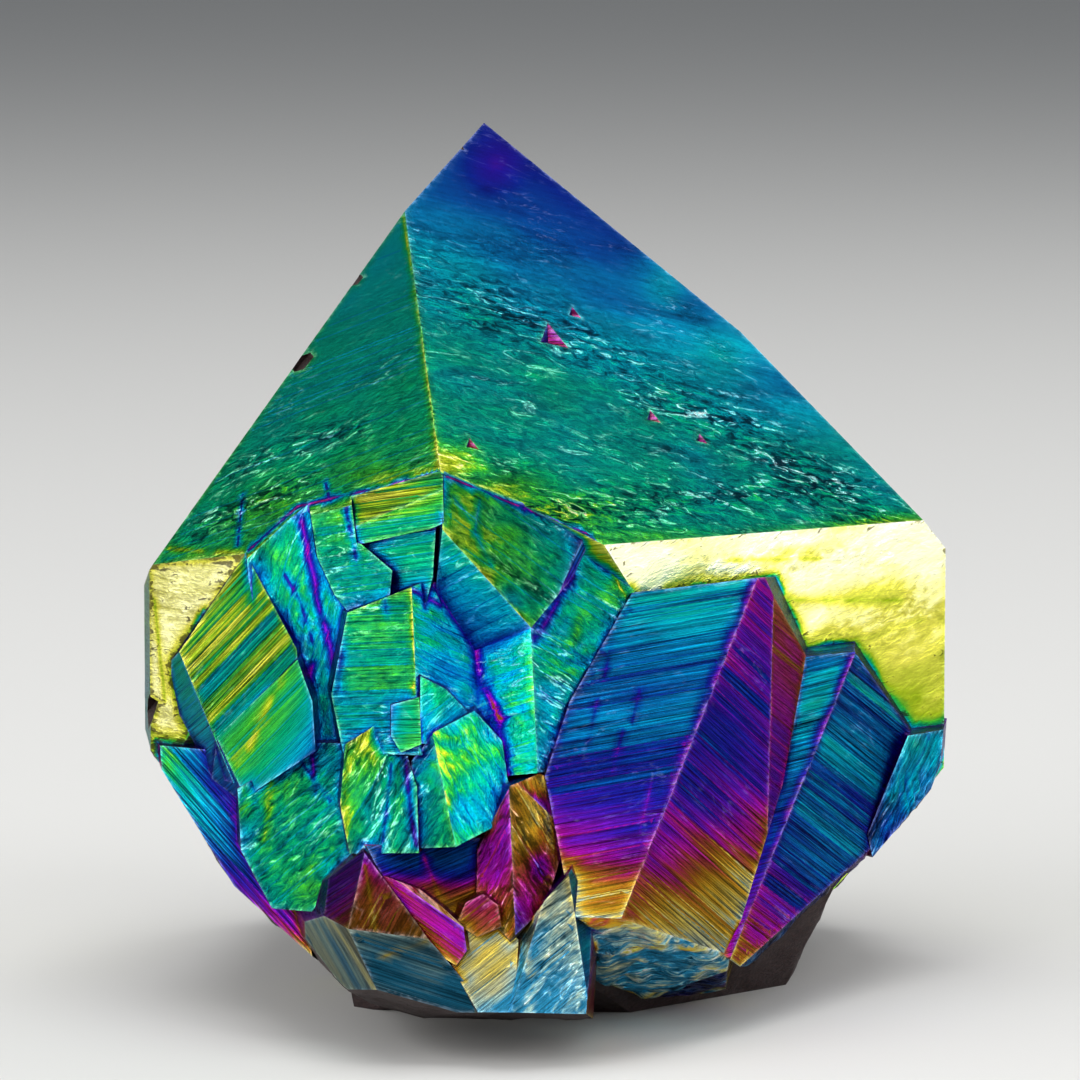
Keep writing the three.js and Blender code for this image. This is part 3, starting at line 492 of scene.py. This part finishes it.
# All in mm: the width of a growth step's slope, the gap between points along a seam, how far inside
# the rim its own row of points runs, and the strip along the rim where the relief fades out.
RISER, SEAM_GAP, RIM_ROW, SETTLE = 0.13, 0.4, 0.2, 0.45
APART_AT_SEAM, APART_AT_RIM = 0.1414, 0.1732  # mm, the nearest that such points may come to others
NUMBERS_OF_FACE, NUMBERS_OF_TREADS = 500, 250  # numbers kept for a face's parts, treads then risers
skin_faces, part_of_triangle = [], []
loop_values, loop_pits_and_painted_light, loop_lines, loop_gleam = [], [], [], []
for number, (normal, level, members) in enumerate(flat_faces()):
    member_set = set(members)
    rim = [e for f in members for e in f.edges if not all(o in member_set for o in e.link_faces)]
    area = sum(f.calc_area() for f in members) / MM**2
    own = sorted({v.index for f in members for v in f.verts})
    look = look_for(normal, level, corners[own], area, number + 1)

    # Axes in the face: along the growth lines and across them.
    def in_face(angle):
        a = math.radians(angle)
        if abs(normal[1]) > 0.25:
            flat = np.array([math.cos(a), 0, math.sin(a)])
            flat[1] = -(normal[0] * flat[0] + normal[2] * flat[2]) / normal[1]
        else:
            level_way = np.cross([0, 0, 1.0], normal)
            if np.linalg.norm(level_way) < 0.05:
                level_way = np.array([1.0, 0, 0])
            level_way /= np.linalg.norm(level_way)
            flat = math.cos(a) * level_way + math.sin(a) * np.cross(normal, level_way)
        flat -= (flat @ normal) * normal
        return flat / np.linalg.norm(flat)

    along = in_face(look["lines"])
    across = np.cross(normal, along)
    fade_way = in_face(look["fade"])
    origin = corners[own].mean(0)

    def to_flat(p):
        p = np.asarray(p) - origin
        return np.stack([p @ along, p @ across], -1)

    # The rim's points, in the face's own flat coordinates.
    ids, local, segments = [], {}, []
    for edge in rim:
        chain = edge_chain(edge)
        for index in chain:
            if index not in local:
                local[index] = len(ids)
                ids.append(index)
        segments += [(local[a], local[b]) for a, b in zip(chain, chain[1:])]
    flat_rim = to_flat([skin_points[i] for i in ids])
    starts = flat_rim[[a for a, _ in segments]]
    ends = flat_rim[[b for _, b in segments]]

    # Points that are put inside the rim, no nearer than `gap` to those already there.
    fill, fill_rows = [], []

    def put_apart(row, gap):
        placed = np.array(fill) if fill else np.full((1, 2), 1e9)
        fill.extend(tuple(p) for p in row if ((placed - p)**2).sum(1).min() > gap**2)

    # The growth steps: two close rows of points along every riser, so that it comes out crisp.
    # A riser that would run too close along the rim is left out.
    front = normal[1] < 0.3 and origin[1] < 8  # in mm: it looks forward from the front half
    big = area > 900  # square mm
    low, high = flat_rim.min(0), flat_rim.max(0)
    draw = np.random.RandomState(number + 7)
    standing = []
    planned = riser_places(low[1], high[1], look["tread"] * (1 if front else 1.6), draw)
    for riser in planned if look["steps"] > 0 and area > 1.5 else []:
        crossing = (starts[:, 1] < riser) != (ends[:, 1] < riser)
        share = (riser - starts[crossing, 1]) / (ends[crossing, 1] - starts[crossing, 1])
        cuts = np.sort(starts[crossing, 0] + share * (ends - starts)[crossing, 0])
        rows, clear = [], True
        for left, right in zip(cuts[::2], cuts[1::2]):
            if right - left < 1.2:
                continue
            run = np.linspace(left + 0.3, right - 0.3, max(3, int((right - left) / 0.8)))
            both = [np.stack([run, np.full(len(run), riser + side * RISER)], 1) for side in (-.5, .5)]
            fits = np.all([inside(row, starts, ends) & (rim_distance(row, starts, ends) > 0.24)
                           for row in both], axis=0)
            held = np.flatnonzero(fits)
            clear = clear and len(held) > 1 and held[-1] - held[0] == len(held) - 1
            clear = clear and len(held) > 0.6 * len(run)
            rows += [row[fits] for row in both]
        if clear and rows:
            standing.append(riser)
            for row in rows:
                first = len(fill)
                fill += [tuple(p) for p in row]
                fill_rows += [(k, k + 1) for k in range(first, len(fill) - 1)]
    steps = GrowthSteps(low[1], high[1], np.array(standing), draw)

    # Rows of points along the seams and to both sides of them.
    def on_face(turns):
        return to_flat([(x, (level - normal[0] * x - normal[2] * z) / normal[1], z)
                        for x, z in turns])

    traced = []
    for tone, width, turns in look["seams"]:
        path = on_face(turns)
        traced.append((tone, width, path[:-1], path[1:]))
        for a, b in zip(path, path[1:]):
            run = np.linspace(0, 1, max(3, int(np.linalg.norm(b - a) / SEAM_GAP)))[:, None]
            aside = np.array([a[1] - b[1], b[0] - a[0]]) / np.linalg.norm(b - a) * width
            row = np.concatenate([a + (b - a) * run + side * aside for side in (-1, 0, 1)])
            row = row[inside(row, starts, ends)]
            put_apart(row[rim_distance(row, starts, ends) > 0.2], APART_AT_SEAM)

    # Rows of points between them, closer together at the front, and a row just inside the rim.
    row, gap = (1.0, 1.3) if not front else (0.7, 0.8) if big else (0.5, 0.62)
    grid_u, grid_v = np.meshgrid(np.arange(low[0] - gap, high[0] + gap, gap),
                                 np.arange(low[1] - row, high[1] + row, row))
    grid_u = grid_u + (np.arange(len(grid_u)) % 2)[:, None] * gap / 2
    grid = np.stack([grid_u.ravel(), grid_v.ravel()], 1)
    grid += np.random.RandomState(number).uniform(-0.08, 0.08, grid.shape) * row
    grid = grid[inside(grid, starts, ends)]
    grid = grid[rim_distance(grid, starts, ends) > (0.45 if front else 0.5) * row]
    for _, width, seam_starts, seam_ends in traced:
        grid = grid[rim_distance(grid, seam_starts, seam_ends) > width + 0.2]
    if standing:
        rise_gap = np.abs(grid[:, 1][:, None] - steps.risers[None, :]).min(1)
        grid = grid[rise_gap > RISER * 1.2]
    fill += [tuple(p) for p in grid]
    if area > 3:
        middles = (starts + ends) / 2
        out = np.stack([(ends - starts)[:, 1], -(ends - starts)[:, 0]], 1)
        out /= np.maximum(np.linalg.norm(out, axis=1, keepdims=True), 1e-9)
        ring = np.concatenate([middles + RIM_ROW * out, middles - RIM_ROW * out])
        ring = ring[inside(ring, starts, ends)]
        if fill:
            put_apart(ring[rim_distance(ring, starts, ends) > 0.15], APART_AT_RIM)
    offset = len(flat_rim)
    points, _, triangles, origins, _, _ = geometry.delaunay_2d_cdt(
        [Vector(p) for p in flat_rim] + [Vector(p) for p in fill],
        segments + [(offset + a, offset + b) for a, b in fill_rows], [], 0, 1e-6)
    flat_points = np.array([tuple(p) for p in points])
    triangles = [t for t in triangles if len(set(t)) == 3]
    middles = flat_points[np.array(triangles)].mean(1)
    triangles = [t for t, keep in zip(triangles, inside(middles, starts, ends)) if keep]

    # Where each filled point goes, raised by the growth steps, the lumps and the folds. The folds
    # have sharp crests 1 to 2 mm apart, sway, and come and go.
    distance = rim_distance(flat_points, starts, ends)
    settle = np.clip(distance / SETTLE, 0, 1)
    u, v = flat_points[:, 0], flat_points[:, 1]
    lift = look["steps"] * steps.lift(u, v)
    for size, share in ((3.2, .5), (1.5, .32), (.8, .18)):
        lift = lift + look["lumps"] * share * smooth_noise(u / size, v / size, number + size)
    solid = origin + np.outer(u, along) + np.outer(v, across)
    reach, aside = solid @ fade_way, solid @ np.cross(normal, fade_way)
    sway = 0.8 * smooth_noise(reach / 3, aside / 3, number + 29)
    folds = 1 - 2.4 * np.abs(smooth_noise(aside / 1.5 + sway, reach / 4.5, number + 23))
    folds = folds * np.clip(0.7 + smooth_noise(reach / 4, aside / 4, number + 31), 0, 1)
    lift = lift + look["crumple"] * folds
    index_of = []
    for k, found in enumerate(origins):
        known = [o for o in found if o < len(ids)]
        if known:
            index_of.append(ids[known[0]])
        else:
            index_of.append(len(skin_points))
            place = origin + along * u[k] + across * v[k] + normal * lift[k] * settle[k]
            skin_points.append(tuple(place))

    # Slivers lying along the outside of the rim don't belong to the face.
    rim_pairs = {frozenset((ids[a], ids[b])) for a, b in segments}
    while True:
        named = [[index_of[i] for i in t] for t in triangles]
        uses = Counter(frozenset(pair) for t in named for pair in zip(t, t[1:] + t[:1]))
        loose = [any(uses[frozenset(pair)] == 1 and frozenset(pair) not in rim_pairs
                     for pair in zip(t, t[1:] + t[:1])) for t in named]
        if not any(loose):
            break
        triangles = [t for t, out in zip(triangles, loose) if not out]
    middles = flat_points[np.array(triangles)].mean(1)

    # The film over the face, thicker or thinner along `fade` and towards the rim. In a valley, where
    # two faces meet inward, less of it settled, so the valley runs to blue and magenta. Along the
    # crests a thin painted highlight is laid: a bright line for the light that the edges catch.
    span = corners[own] @ fade_way
    share = (reach - span.min()) / max(span.max() - span.min(), 1e-6)

    def faded(name):
        values = np.atleast_1d(look[name])
        return np.interp(share, np.linspace(0, 1, len(values)), values)

    film = faded("film")
    film = film + 0.02 * smooth_noise(u / 5, v / 3, number + 11) + 0.3 * look["crumple"] * folds
    crest, valley = [], []
    for edge in rim:
        other = next(f for f in edge.link_faces if f not in member_set)
        beyond = corners[[v.index for v in other.verts]].mean(0) @ normal - level
        chain = to_flat([skin_points[i] for i in edge_chain(edge)])
        (valley if beyond > 0.02 else crest).extend(zip(chain, chain[1:]))
    if crest:
        away = rim_distance(flat_points, *(np.array(side) for side in zip(*crest)))
        film = film + look["edge"] * np.exp(-(away / 0.4)**1.5)
    # A painted highlight: a thin bright line along the crests.
    crisp = np.exp(-(away / 0.13)**2) if crest else np.zeros(len(u))
    if valley and front:
        away = rim_distance(flat_points, *(np.array(side) for side in zip(*valley)))
        patchy = np.clip(0.3 + 1.1 * smooth_noise(u / 3, v / 3, number + 5), 0, 1)
        film = film - 0.09 * np.exp(-(away / 0.7)**1.3)
        film = film + (0.42 - film) * 0.6 * patchy * np.exp(-(away / 0.25)**2)
    for x, z, reach_x, reach_z, tone in look["spots"]:
        near = np.exp(-((solid[:, 0] - x) / reach_x)**2 - ((solid[:, 2] - z) / reach_z)**2)
        film = film + (tone - film) * near
    for tone, width, seam_starts, seam_ends in traced:
        away = rim_distance(flat_points, seam_starts, seam_ends)
        broken = np.clip(0.95 + 0.9 * smooth_noise(u / 1.6, v / 1.6, number + 3), 0, 1)
        film = film + (tone - film) * broken * np.exp(-(away / width)**2)
    flat = np.ones(len(u))
    crowd, gleam = flat, faded("gleam")
    for times, width, turns in look["flurries"]:
        path = on_face(turns)
        crowd = crowd + times * np.exp(-(rim_distance(flat_points, path[:-1], path[1:]) / width)**2)
    fixed = np.stack([film, look["streak"] * flat, crowd * faded("flecks"), look["bare"] * flat], 1)
    # Per point: painted light and shade along the lines, the strokes' strength, the dark pits, and the
    # crests' painted highlight.
    marks_and_painted_light = np.stack([look["shade"] * flat, crowd**0.25 * faded("chaos"),
                       look["specks"] * np.exp(-distance / 2.2), crisp], 1)
    apart = np.array([37.0 * (number % 19), 53.0 * (number // 19)])
    for t, middle in zip(triangles, middles):
        a, b, c = flat_points[list(t)]
        order = t if (b - a)[0] * (c - a)[1] - (b - a)[1] * (c - a)[0] > 0 else t[::-1]
        skin_faces.append([index_of[i] for i in order])
        k = int(steps.tread_at(middle[1]))
        rise = fill_rows and len(steps.risers) and np.abs(steps.risers - middle[1]).min() < RISER / 2
        part_of_triangle.append(number * NUMBERS_OF_FACE + (k if fill_rows else 0)
                                + (NUMBERS_OF_TREADS if rise else 0))
        shift = np.array([look["streak"] * steps.tones[k] - (0.06 if rise else 0), 0, 0, 0])
        loop_values += [fixed[i] + shift * settle[i] for i in order]
        loop_pits_and_painted_light += [marks_and_painted_light[i] for i in order]
        loop_gleam += [gleam[i] for i in order]
        loop_lines += [flat_points[i] + apart for i in order]


# The finished piece. Edges are sharp between crystal faces and between the treads of a face.
skin_points = np.array(skin_points)
skin_points[:, 2] = np.maximum(skin_points[:, 2], 0)
mesh = bpy.data.meshes.new("amethyst_crystal")
mesh.from_pydata(((skin_points + under_tip) * MM).tolist(), [], skin_faces)
mesh.polygons.foreach_set("use_smooth", [True] * len(mesh.polygons))
for name, given in (("coat", loop_values), ("pits_and_painted_light", loop_pits_and_painted_light)):
    values = mesh.attributes.new(name, "FLOAT_COLOR", "CORNER")
    values.data.foreach_set("color", np.array(given, np.float32).ravel())
# Painted brightness at each corner: painted light and shade, face by face.
gleams = mesh.attributes.new("gleam", "FLOAT", "CORNER")
gleams.data.foreach_set("value", loop_gleam)
lines_map = mesh.uv_layers.new(name="growth_lines")
lines_map.data.foreach_set("uv", np.array(loop_lines, np.float32).ravel())
owner = mesh.attributes.new("growth_part", "INT", "FACE")
owner.data.foreach_set("value", part_of_triangle)
shared = bmesh.new()
shared.from_mesh(mesh)
owner_layer = shared.faces.layers.int["growth_part"]
for edge in shared.edges:
    sides = {f[owner_layer] for f in edge.link_faces}
    edge.smooth = len(sides) == 1 and len(edge.link_faces) == 2
shared.to_mesh(mesh)
shared.free()
crystal = bpy.data.objects.new("amethyst_crystal", mesh)
bpy.context.scene.collection.objects.link(crystal)
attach(crystal, "root")
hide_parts("amethyst_point")


# Titanium film, steamed onto quartz in a vacuum. It is so thin, a few hundred nanometres, that its
# colour comes from its thickness: steel blue where worn, gold, magenta, blue, teal, green and pale
# yellow. It mirrors like metal, and shows every growth line of the crystal under it.
def linear(code):
    """sRGB hex to the renderer's linear colour."""
    parts = [int(code[i:i + 2], 16) / 255 for i in (1, 3, 5)]
    return [p / 12.92 if p <= 0.04045 else ((p + 0.055) / 1.055)**2.4 for p in parts] + [1]


film_material = bpy.data.materials.new("titanium_film")
film_material.use_nodes = True
tree = film_material.node_tree
tree.nodes.clear()


def node(kind, inputs=None, **settings):
    """Adds a node. Settings are its own options, inputs are numbers or other nodes' outputs."""
    made = tree.nodes.new(kind)
    for name, value in settings.items():
        setattr(made, name, value)
    for socket, value in (inputs or {}).items():
        if isinstance(value, bpy.types.NodeSocket):
            tree.links.new(value, made.inputs[socket])
        else:
            made.inputs[socket].default_value = value
    return made


coat = node("ShaderNodeAttribute", attribute_name="coat")
film, streak, flecks = node("ShaderNodeSeparateColor", {0: coat.outputs["Color"]}).outputs
# The second attribute: painted light and shade along the lines, the strokes' strength, the dark pits,
# and in its alpha the painted highlight along the crests.
pits_and_painted_light = node("ShaderNodeAttribute", attribute_name="pits_and_painted_light")
shade, chaos, specks = node("ShaderNodeSeparateColor", {0: pits_and_painted_light.outputs["Color"]}).outputs
# The painted brightness, face by face: painted light and shade.
gleam = node("ShaderNodeAttribute", attribute_name="gleam").outputs["Fac"]
growth = node("ShaderNodeUVMap", uv_map="growth_lines").outputs["UV"]

# The marks of growth. Each row: waves per mm along the growth lines and across them, how much
# finer detail it carries, how rough that is, and how far it wanders. The real lines are 0.05 to
# 0.8 mm wide: bands 0.8, hairs 0.2, and scratches 0.09 mm, drawn no finer, so that they still show.
# Strokes are 14 by 3.6 mm, threads 10 by 2.2 mm, and they gather in patches of 17 by 8 mm. Chips are
# 1.7 by 0.7 mm, grain 0.3 mm.
noises = {}
for name, per_mm, detail, roughness, wander in [
        ("bands", (0.02, 1.3, 1), 3, 0.6, 0),
        ("hairs", (0.05, 4.5, 1), 3, 0.7, 0),
        ("scratches", (0.12, 11.0, 1), 2, 0.7, 0),
        ("strokes", (0.07, 0.28, 1), 4, 0.58, 1.2),
        ("threads", (0.1, 0.45, 1), 3, 0.55, 1.1),
        ("patches", (0.06, 0.13, 1), 2, 0.5, 0.6),
        ("chips", (0.6, 1.5, 1), 5, 0.66, 0.8),
        ("grain", (3.0, 3.0, 1), 4, 0.7, 0)]:
    laid = node("ShaderNodeMapping", {"Vector": growth, "Scale": per_mm}).outputs[0]
    noise = node("ShaderNodeTexNoise", {"Vector": laid, "Scale": 1.0, "Detail": detail,
                                        "Roughness": roughness, "Distortion": wander})
    noises[name] = node("ShaderNodeMath", {0: noise.outputs[0], 1: 0.5},
                        operation="SUBTRACT").outputs[0]

gathered = node("ShaderNodeMapRange", {0: noises["patches"], 1: -0.05, 2: 0.13, 3: 0.15, 4: 1.3})
noises["strokes"] = node("ShaderNodeMath", {0: noises["strokes"], 1: gathered.outputs[0]},
                         operation="MULTIPLY").outputs[0]

# Thickness, brightness and relief each start from a plain value and add shares of the marks. The
# brightness is painted light and shade: it starts from each face's painted brightness and adds light
# and dark along the lines, the strokes and the chips.
sums = {}
for goal, start, shares in [
        ("thickness", film, [("bands", streak, 3.0), ("hairs", streak, 3.0), ("strokes", chaos, 2.0),
                             ("chips", flecks, 0.12)]),
        ("brightness", gleam, [("hairs", shade, 34.0), ("scratches", shade, 22.0),
                               ("strokes", chaos, 34.0), ("chips", flecks, 2.6)]),
        ("relief", 0.0, [("hairs", shade, 3.0), ("scratches", shade, 2.0), ("strokes", chaos, 3.0),
                         ("chips", flecks, 0.6), ("grain", flecks, 0.25)])]:
    total = start
    for name, amount, share in shares:
        weight = node("ShaderNodeMath", {0: amount, 1: share}, operation="MULTIPLY").outputs[0]
        total = node("ShaderNodeMath", {0: noises[name], 1: weight, 2: total},
                     operation="MULTIPLY_ADD").outputs[0]
    sums[goal] = total

# The film's colour at each thickness.
TONES = [(0.00, "#2a83aa"), (0.03, "#7fa6a4"), (0.06, "#a9b295"), (0.10, "#cbb956"),
         (0.15, "#b98f22"), (0.21, "#8f5216"), (0.27, "#94283c"), (0.33, "#980f8c"), (0.40, "#5c109a"),
         (0.47, "#1f128a"), (0.53, "#071f80"), (0.59, "#03448a"), (0.65, "#026fa2"),
         (0.70, "#0190a8"), (0.75, "#028c80"), (0.80, "#04925c"), (0.85, "#30a02c"),
         (0.90, "#97ac1c"), (0.95, "#d4cf4e"), (1.00, "#f5f1b4")]
colours = node("ShaderNodeValToRGB", {0: sums["thickness"]})
stops = colours.color_ramp.elements
for place, code in TONES[1:-1]:
    stops.new(place).color = linear(code)
stops[0].color, stops[-1].color = linear(TONES[0][1]), linear(TONES[-1][1])
light_lines = node("ShaderNodeClamp", {0: sums["brightness"], "Min": 0.12, "Max": 2.8}).outputs[0]
lined = node("ShaderNodeVectorMath", {0: colours.outputs[0], "Scale": light_lines},
             operation="SCALE").outputs[0]

# Painted glints: chips, crooked threads and crests are painted paler and brighter than the film around
# them, as highlights.
thread = node("ShaderNodeMath", {0: noises["threads"]}, operation="ABSOLUTE").outputs[0]
thread = node("ShaderNodeMapRange", {0: thread, 1: 0.0, 2: 0.022, 3: 1.0, 4: 0.0}).outputs[0]
small = node("ShaderNodeMapRange", {0: noises["chips"], 1: -0.04, 2: 0.12}).outputs[0]
both = node("ShaderNodeMath", {0: thread, 1: small}, operation="MULTIPLY").outputs[0]
both = node("ShaderNodeMath", {0: both, 1: gathered.outputs[0]}, operation="MULTIPLY").outputs[0]
glint = node("ShaderNodeMath", {0: both, 1: flecks}, operation="MULTIPLY").outputs[0]
# The crests' painted highlight, broken up by the chips.
marks_and_painted_light = node("ShaderNodeMapRange", {0: noises["chips"], 1: -0.1, 2: 0.15}).outputs[0]
crest = node("ShaderNodeMath", {0: pits_and_painted_light.outputs["Alpha"], 1: marks_and_painted_light}, operation="MULTIPLY").outputs[0]
glint = node("ShaderNodeMath", {0: crest, 1: 0.6, 2: glint}, operation="MULTIPLY_ADD").outputs[0]
gain = node("ShaderNodeMath", {0: glint, 1: 1.8, 2: 1.0}, operation="MULTIPLY_ADD").outputs[0]
pale = node("ShaderNodeMath", {0: glint, 1: 0.3}, operation="MULTIPLY").outputs[0]
glinting = node("ShaderNodeVectorMath", {0: lined, 1: gain, 2: pale},
                operation="MULTIPLY_ADD").outputs[0]

# Dark pits, where the film never reached.
pit_noise = node("ShaderNodeMath", {0: specks, 1: 0.24, 2: noises["chips"]},
                 operation="MULTIPLY_ADD").outputs[0]
pits = node("ShaderNodeMapRange", {0: pit_noise, 1: 0.25, 2: 0.29}).outputs[0]
pits = node("ShaderNodeMath", {0: pits, 1: 0.85}, operation="MULTIPLY").outputs[0]
pitted = node("ShaderNodeMix", {0: pits, 6: glinting, 7: linear("#1c130e")}, data_type="RGBA")

# Where it tore out of its bed the quartz is bare: brown to plum, glassy and rough.
torn = node("ShaderNodeMath", {0: coat.outputs["Alpha"], 1: 1.4, 2: noises["chips"]},
            operation="MULTIPLY_ADD").outputs[0]
torn = node("ShaderNodeMapRange", {0: torn, 1: 0.42, 2: 0.6}).outputs[0]
mottle = node("ShaderNodeMapRange", {0: noises["grain"], 1: -0.2, 2: 0.25}).outputs[0]
quartz = node("ShaderNodeMix", {0: mottle, 6: linear("#120d10"), 7: linear("#45312f")},
              data_type="RGBA")
surface = node("ShaderNodeMix", {0: torn, 6: pitted.outputs[2], 7: quartz.outputs[2]},
               data_type="RGBA")
metal = node("ShaderNodeMapRange", {0: torn, 3: 0.97, 4: 0.0}).outputs[0]
dullness = node("ShaderNodeMapRange", {0: torn, 3: 0.25, 4: 0.55}).outputs[0]
bump = node("ShaderNodeBump", {"Height": sums["relief"], "Strength": 0.8, "Distance": 0.0005})
shine = node("ShaderNodeBsdfPrincipled",
             {"Base Color": surface.outputs[2], "Normal": bump.outputs[0], "Metallic": metal,
              "Roughness": dullness, "Specular Tint": (0.5, 0.5, 0.5, 1)})
node("ShaderNodeOutputMaterial", {"Surface": shine.outputs[0]})
mesh.materials.append(film_material)

# ------------------------------------------------------------------------------------------------
# The studio. A sheet of pale paper for a floor, soft lights around and above, strongest from the
# left and from straight above so that the cap mirrors them, and the camera.
floor_mesh = bpy.data.meshes.new("floor")
floor_mesh.from_pydata([(-12, -12, 0), (12, -12, 0), (12, 12, 0), (-12, 12, 0)], [], [(0, 1, 2, 3)])
floor = bpy.data.objects.new("floor", floor_mesh)
bpy.context.scene.collection.objects.link(floor)
paper = bpy.data.materials.new("pale_floor")
paper.use_nodes = True
paper.node_tree.nodes["Principled BSDF"].inputs["Base Color"].default_value = linear("#d9d8d5")
paper.node_tree.nodes["Principled BSDF"].inputs["Roughness"].default_value = 0.6
floor_mesh.materials.append(paper)
floor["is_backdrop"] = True

world = bpy.data.worlds.new("studio")
world.use_nodes = True
world.node_tree.nodes["Background"].inputs["Color"].default_value = linear("#cfd4da")
world.node_tree.nodes["Background"].inputs["Strength"].default_value = 0.3
bpy.context.scene.world = world


def softbox(name, place, aim, size, power):
    """A soft rectangular light. Places and sizes in metres, power in watts."""
    data = bpy.data.lights.new(name, "AREA")
    data.shape = "RECTANGLE"
    data.size, data.size_y = size
    data.energy = power
    light = bpy.data.objects.new(name, data)
    light.location = place
    light.rotation_euler = (Vector(aim) - Vector(place)).to_track_quat("-Z", "Y").to_euler()
    bpy.context.scene.collection.objects.link(light)


softbox("right_light", (1.0, 0.0, 0.26), (0, 0, 0.04), (0.7, 0.5), 2.2)
softbox("left_light", (-0.9, -0.42, 0.42), (0, 0, 0.04), (1.2, 0.8), 9.0)
softbox("right_front_light", (0.8, -0.45, 0.42), (0, 0, 0.04), (0.5, 0.45), 1.6)
softbox("back_right_light", (0.62, 0.45, 0.72), (0, 0, 0.05), (0.6, 0.6), 1.7)
softbox("back_left_light", (-0.8, 0.4, 0.6), (0, 0, 0.05), (0.5, 0.5), 0.5)
softbox("high_front_light", (0.6, -0.45, 0.85), (0, 0, 0.03), (0.4, 0.4), 1.0)
softbox("front_light", (0, -0.8, 0.68), (0, 0, 0.03), (1.1, 0.5), 2.6)
softbox("top_light", (0, 0, 1.3), (0, 0, 0), (1.0, 1.0), 10)

# The camera stands 0.6 m in front of the crystal, a little above it, and looks 7 degrees down.
camera_data = bpy.data.cameras.new("camera")
camera_data.lens = 212.8
camera_data.sensor_width = 36
camera_data.clip_start = 0.05
camera = bpy.data.objects.new("camera", camera_data)
camera.location = Vector(((5.26 + under_tip[0]) * MM, (-595.5 + under_tip[1]) * MM, 113.4 * MM))
camera.rotation_euler = (math.radians(90 - 7), 0, 0)
bpy.context.scene.collection.objects.link(camera)
bpy.context.scene.camera = camera
bpy.context.scene.view_settings.view_transform = "Standard"

low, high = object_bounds()
